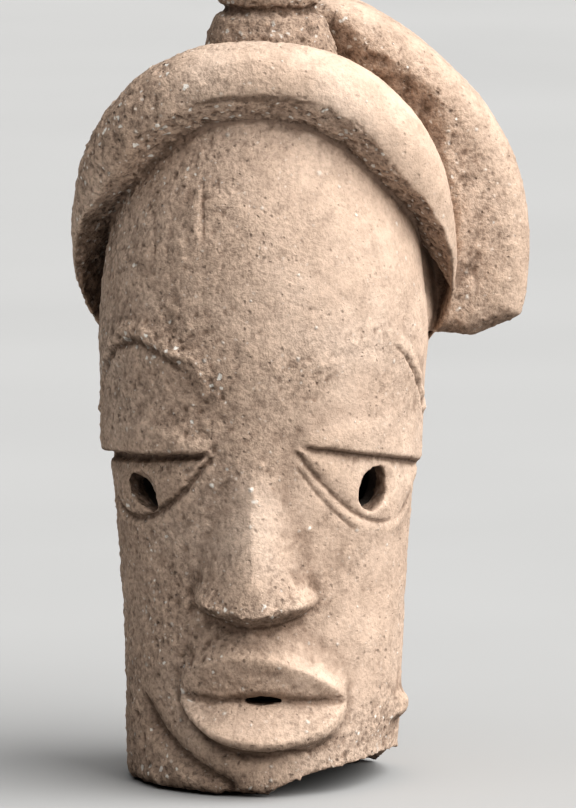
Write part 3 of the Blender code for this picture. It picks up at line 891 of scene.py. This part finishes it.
def bent(tree, where):
    """Coordinates pushed about a little, so that the grains aren't round."""
    push = texture(tree, where, 0.0022, 2.0, 0.5, (-2600, -300)).outputs["Color"]
    inputs = {0: push, 1: grey(0.5)}
    centred = node(tree, "ShaderNodeVectorMath", (-2400, -300), inputs, operation="SUBTRACT")
    inputs = {0: centred.outputs[0], "Scale": 0.0016}
    small = node(tree, "ShaderNodeVectorMath", (-2250, -300), inputs, operation="SCALE")
    inputs = {0: where, 1: small.outputs[0]}
    return node(tree, "ShaderNodeVectorMath", (-2100, -300), inputs, operation="ADD").outputs[0]


def scattered(tree, where, size, share_of_cells, inner, outer, shift, at):
    """Grains of uneven size in some of the cells, at most outer of a cell across from their middles."""
    x, y = at
    inputs = {0: where, 1: (shift, shift * 1.7, shift * 0.6)}
    moved = node(tree, "ShaderNodeVectorMath", (x - 400, y), inputs, operation="ADD").outputs[0]
    cells = node(tree, "ShaderNodeTexVoronoi", (x - 200, y), {"Vector": moved, "Scale": 1.0 / size})
    split = node(tree, "ShaderNodeSeparateColor", (x, y - 200), {0: cells.outputs["Color"]})
    reach = remap(tree, split.outputs[1], 0.0, 1.0, inner, outer, (x + 200, y - 350))
    near = remap(tree, cells.outputs["Distance"], reach, 0.04, 0.0, 1.0, (x + 400, y))
    chosen = maths(tree, "LESS_THAN", split.outputs[0], share_of_cells, (x + 200, y - 200))
    return maths(tree, "MULTIPLY", near, chosen, (x + 600, y))


def clay_ground(tree, where, grit, gritty, grainy):
    """The clay itself: broad and small changes of tone, fine grit, and paler smooth places."""
    broad = texture(tree, where, 0.060, 3.0, 0.55, (-1500, 500)).outputs["Fac"]
    stops = [(0.30, (0.480, 0.357, 0.277)), (0.52, (0.543, 0.411, 0.324)), (0.72, (0.598, 0.466, 0.377))]
    colour = ramp(tree, broad, stops, (-1300, 500))
    mottle = texture(tree, where, 0.0080, 4.0, 0.66, (-1500, 250)).outputs["Fac"]
    stops = [(0.34, (0.84, 0.835, 0.83)), (0.52, grey(1.0)), (0.70, (1.09, 1.09, 1.085))]
    colour = mix(tree, "MULTIPLY", 1.0, colour, ramp(tree, mottle, stops, (-1300, 250)), (-1000, 400))
    stops = [(0.36, (0.60, 0.595, 0.59)), (0.50, grey(1.0)), (0.66, (1.24, 1.235, 1.23))]
    colour = mix(tree, "MULTIPLY", grainy, colour, ramp(tree, grit, stops, (-1300, 50)), (-800, 350))
    stops = [(0.10, grey(1.10)), (0.32, (0.99, 0.985, 0.98)), (0.85, (0.90, 0.89, 0.88))]
    return mix(tree, "MULTIPLY", 1.0, colour, ramp(tree, gritty, stops, (-1300, -300)), (-700, 350))


def clay_grains(tree, colour, pale, pale_small, dark, grainy):
    """Dark and pale grains in the clay, with the single pale ones that are stored on the mesh."""
    dark = maths(tree, "MULTIPLY", dark, grainy, (-900, 0))
    dark = maths(tree, "MULTIPLY", dark, 0.80, (-750, 0))
    colour = mix(tree, "MIX", dark, colour, (0.135, 0.102, 0.082), (-600, 300))
    small = maths(tree, "MULTIPLY", pale_small, grainy, (-900, -50))
    small = maths(tree, "MULTIPLY", small, 0.95, (-750, -50))
    colour = mix(tree, "MIX", small, colour, (0.790, 0.705, 0.625), (-450, 300))
    pale = maths(tree, "MULTIPLY", pale, 0.75, (-750, -100))
    colour = mix(tree, "MIX", pale, colour, (0.790, 0.735, 0.665), (-300, 300))
    single = remap(tree, stored(tree, "pale", (-1800, -900)), 0.35, 0.6, 0.0, 0.85, (-900, -900))
    return mix(tree, "MIX", single, colour, (0.850, 0.810, 0.750), (-250, 300))


def clay_wear_and_shade(tree, colour):
    """Pale edges, painted shade in pits, the stored painted shade and streaks, and painted shade inside the
    hollow, where the inner wall is coloured near black.
    """
    # Pale on convex edges, and painted shade in pits and hollows
    stops = [(0.18, (1.10, 1.10, 1.09)), (0.46, grey(1.0)), (0.80, (0.52, 0.49, 0.47))]
    deep = ramp(tree, stored(tree, "hollow", (-1800, -700)), stops, (-900, -700))
    colour = mix(tree, "MULTIPLY", 1.0, colour, deep, (-150, 300))
    # Painted shade under overhangs, in creases and at the foot, and dark streaks, from the stored map
    stops = [(0.0, grey(1.0)), (1.0, (0.44, 0.42, 0.405))]
    shade_and_streak_tones = ramp(tree, stored(tree, "shade_and_streaks", (-1800, -1300)), stops, (-900, -1300))
    colour = mix(tree, "MULTIPLY", 1.0, colour, shade_and_streak_tones, (-100, 300))
    # Painted shade inside the hollow: its inner wall coloured near black
    return mix(tree, "MIX", stored(tree, "painted_dark_inside", (-1800, -1100)), colour, (0.085, 0.070, 0.060), (-50, 300))


def clay_bump(tree, grit, gritty, pale, dark):
    """The finest relief: grit and pale grains stand, and dark grains lie deeper."""
    pale = maths(tree, "MULTIPLY", pale, 0.7, (-900, -200))
    dark = maths(tree, "MULTIPLY", dark, 0.9, (-700, -300))
    heights = maths(tree, "ADD", grit, pale, (-700, -200))
    heights = maths(tree, "SUBTRACT", heights, dark, (-500, -250))
    strength = remap(tree, gritty, 0.0, 1.0, 0.45, 1.0, (-700, -450))
    inputs = {"Strength": strength, "Height": heights, "Distance": 0.0014}
    return node(tree, "ShaderNodeBump", (-300, -250), inputs).outputs[0]


def matt_material(name, roughness, specular):
    """A new matt material, and its node tree and shader."""
    material = bpy.data.materials.new(name)
    material.use_nodes = True
    shader = material.node_tree.nodes["Principled BSDF"]
    shader.inputs["Roughness"].default_value = roughness
    shader.inputs["Specular IOR Level"].default_value = specular
    return material, material.node_tree, shader


def clay_material():
    """Weathered, gritty, low-fired clay: buff ground, pale and dark grains, pale wear, and painted shade in
    pits, under overhangs and inside the hollow.
    """
    material, tree, shader = matt_material("weathered_clay", 0.93, 0.18)
    where = node(tree, "ShaderNodeTexCoord", (-2900, 0), {}).outputs["Object"]
    warped = bent(tree, where)
    grit = texture(tree, where, 0.0019, 3.0, 0.68, (-1500, 50)).outputs["Fac"]
    gritty = stored(tree, "gritty", (-1800, -500))
    grainy = remap(tree, gritty, 0.1, 0.9, 0.22, 1.0, (-1500, -450))
    pale = scattered(tree, warped, 0.0040, 0.10, 0.10, 0.34, 0.0, (-1500, -150))
    pale_small = scattered(tree, warped, 0.0025, 0.24, 0.12, 0.42, 3.1, (-1500, -550))
    dark = scattered(tree, warped, 0.0028, 0.26, 0.10, 0.44, 7.7, (-1500, -950))
    colour = clay_ground(tree, where, grit, gritty, grainy)
    colour = clay_grains(tree, colour, pale, pale_small, dark, grainy)
    tree.links.new(clay_wear_and_shade(tree, colour), shader.inputs["Base Color"])
    tree.links.new(clay_bump(tree, grit, gritty, pale, dark), shader.inputs["Normal"])
    return material


def floor_material():
    """Plain, pale and matt, with hardly any cloud in it."""
    material, tree, shader = matt_material("pale_floor", 0.9, 0.1)
    where = node(tree, "ShaderNodeTexCoord", (-800, 0), {}).outputs["Object"]
    inputs = {"Vector": where, "Scale": 3.0, "Detail": 2.0}
    cloud = node(tree, "ShaderNodeTexNoise", (-600, 0), inputs).outputs["Fac"]
    tones = ramp(tree, cloud, [(0.3, (0.408, 0.408, 0.405)), (0.7, (0.428, 0.428, 0.425))], (-400, 0))
    tree.links.new(tones, shader.inputs["Base Color"])
    return material


def floor():
    """A wide plane just under the base."""
    bm = bmesh.new()
    bmesh.ops.create_grid(bm, x_segments=2, y_segments=2, size=30.0)
    mesh = bpy.data.meshes.new("floor")
    bm.to_mesh(mesh)
    bm.free()
    plane = bpy.data.objects.new("floor", mesh)
    bpy.context.scene.collection.objects.link(plane)
    plane.location = (0.0, 0.0, low.z - 0.0002)
    mesh.materials.append(floor_material())


def direction(turn, height):
    """Unit vector that points out from the front, turned to the right and raised."""
    return Vector((math.sin(turn) * math.cos(height), -math.cos(turn) * math.cos(height), math.sin(height)))


def sun(name, turn, height, strength, softness, tone):
    """A far, soft light from turn degrees round to the right of the front and height degrees up."""
    data = bpy.data.lights.new(name, "SUN")
    data.energy = strength
    data.angle = math.radians(softness)
    data.color = tone
    lamp = bpy.data.objects.new(name, data)
    bpy.context.scene.collection.objects.link(lamp)
    toward = direction(math.radians(turn), math.radians(height))
    lamp.rotation_euler = toward.to_track_quat("Z", "Y").to_euler()


def lights():
    """A soft key from the upper right, a softer one from above it, and hardly any fill."""
    sun("key", 70.0, 42.0, 3.45, 64.0, (1.0, 0.99, 0.975))
    sun("top", 58.0, 72.0, 2.25, 110.0, (1.0, 1.0, 1.0))
    world = bpy.data.worlds.new("studio")
    bpy.context.scene.world = world
    world.use_nodes = True
    background = world.node_tree.nodes["Background"]
    background.inputs[0].default_value = (0.88, 0.89, 0.90, 1.0)
    background.inputs[1].default_value = 0.03


def camera():
    """A long lens at the photograph's angle, a little from above and a little from the right."""
    turn, height = CAMERA_TURN, CAMERA_HEIGHT
    data = bpy.data.cameras.new("camera")
    data.sensor_fit = "VERTICAL"
    data.sensor_height = 24.0
    data.lens = data.sensor_height * CAMERA_AWAY / (PICTURE_TALL * UNIT)
    view = bpy.data.objects.new("camera", data)
    bpy.context.scene.collection.objects.link(view)
    right = Vector((math.cos(turn), math.sin(turn), 0.0))
    aim = AXIS + (right * AIM_RIGHT + Vector((0.0, 0.0, AIM_Z))) * UNIT
    away = direction(turn, height)
    view.location = aim + away * CAMERA_AWAY
    view.rotation_euler = away.to_track_quat("Z", "Y").to_euler()
    bpy.context.scene.camera = view


head = fine_head(bpy.context.scene.collection)
head.data.materials.clear()
head.data.materials.append(clay_material())
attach(head, "root")
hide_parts(NODE)
floor()
lights()
camera()
bpy.context.scene.view_settings.view_transform = "Standard"
bpy.context.scene.view_settings.look = "Medium High Contrast"
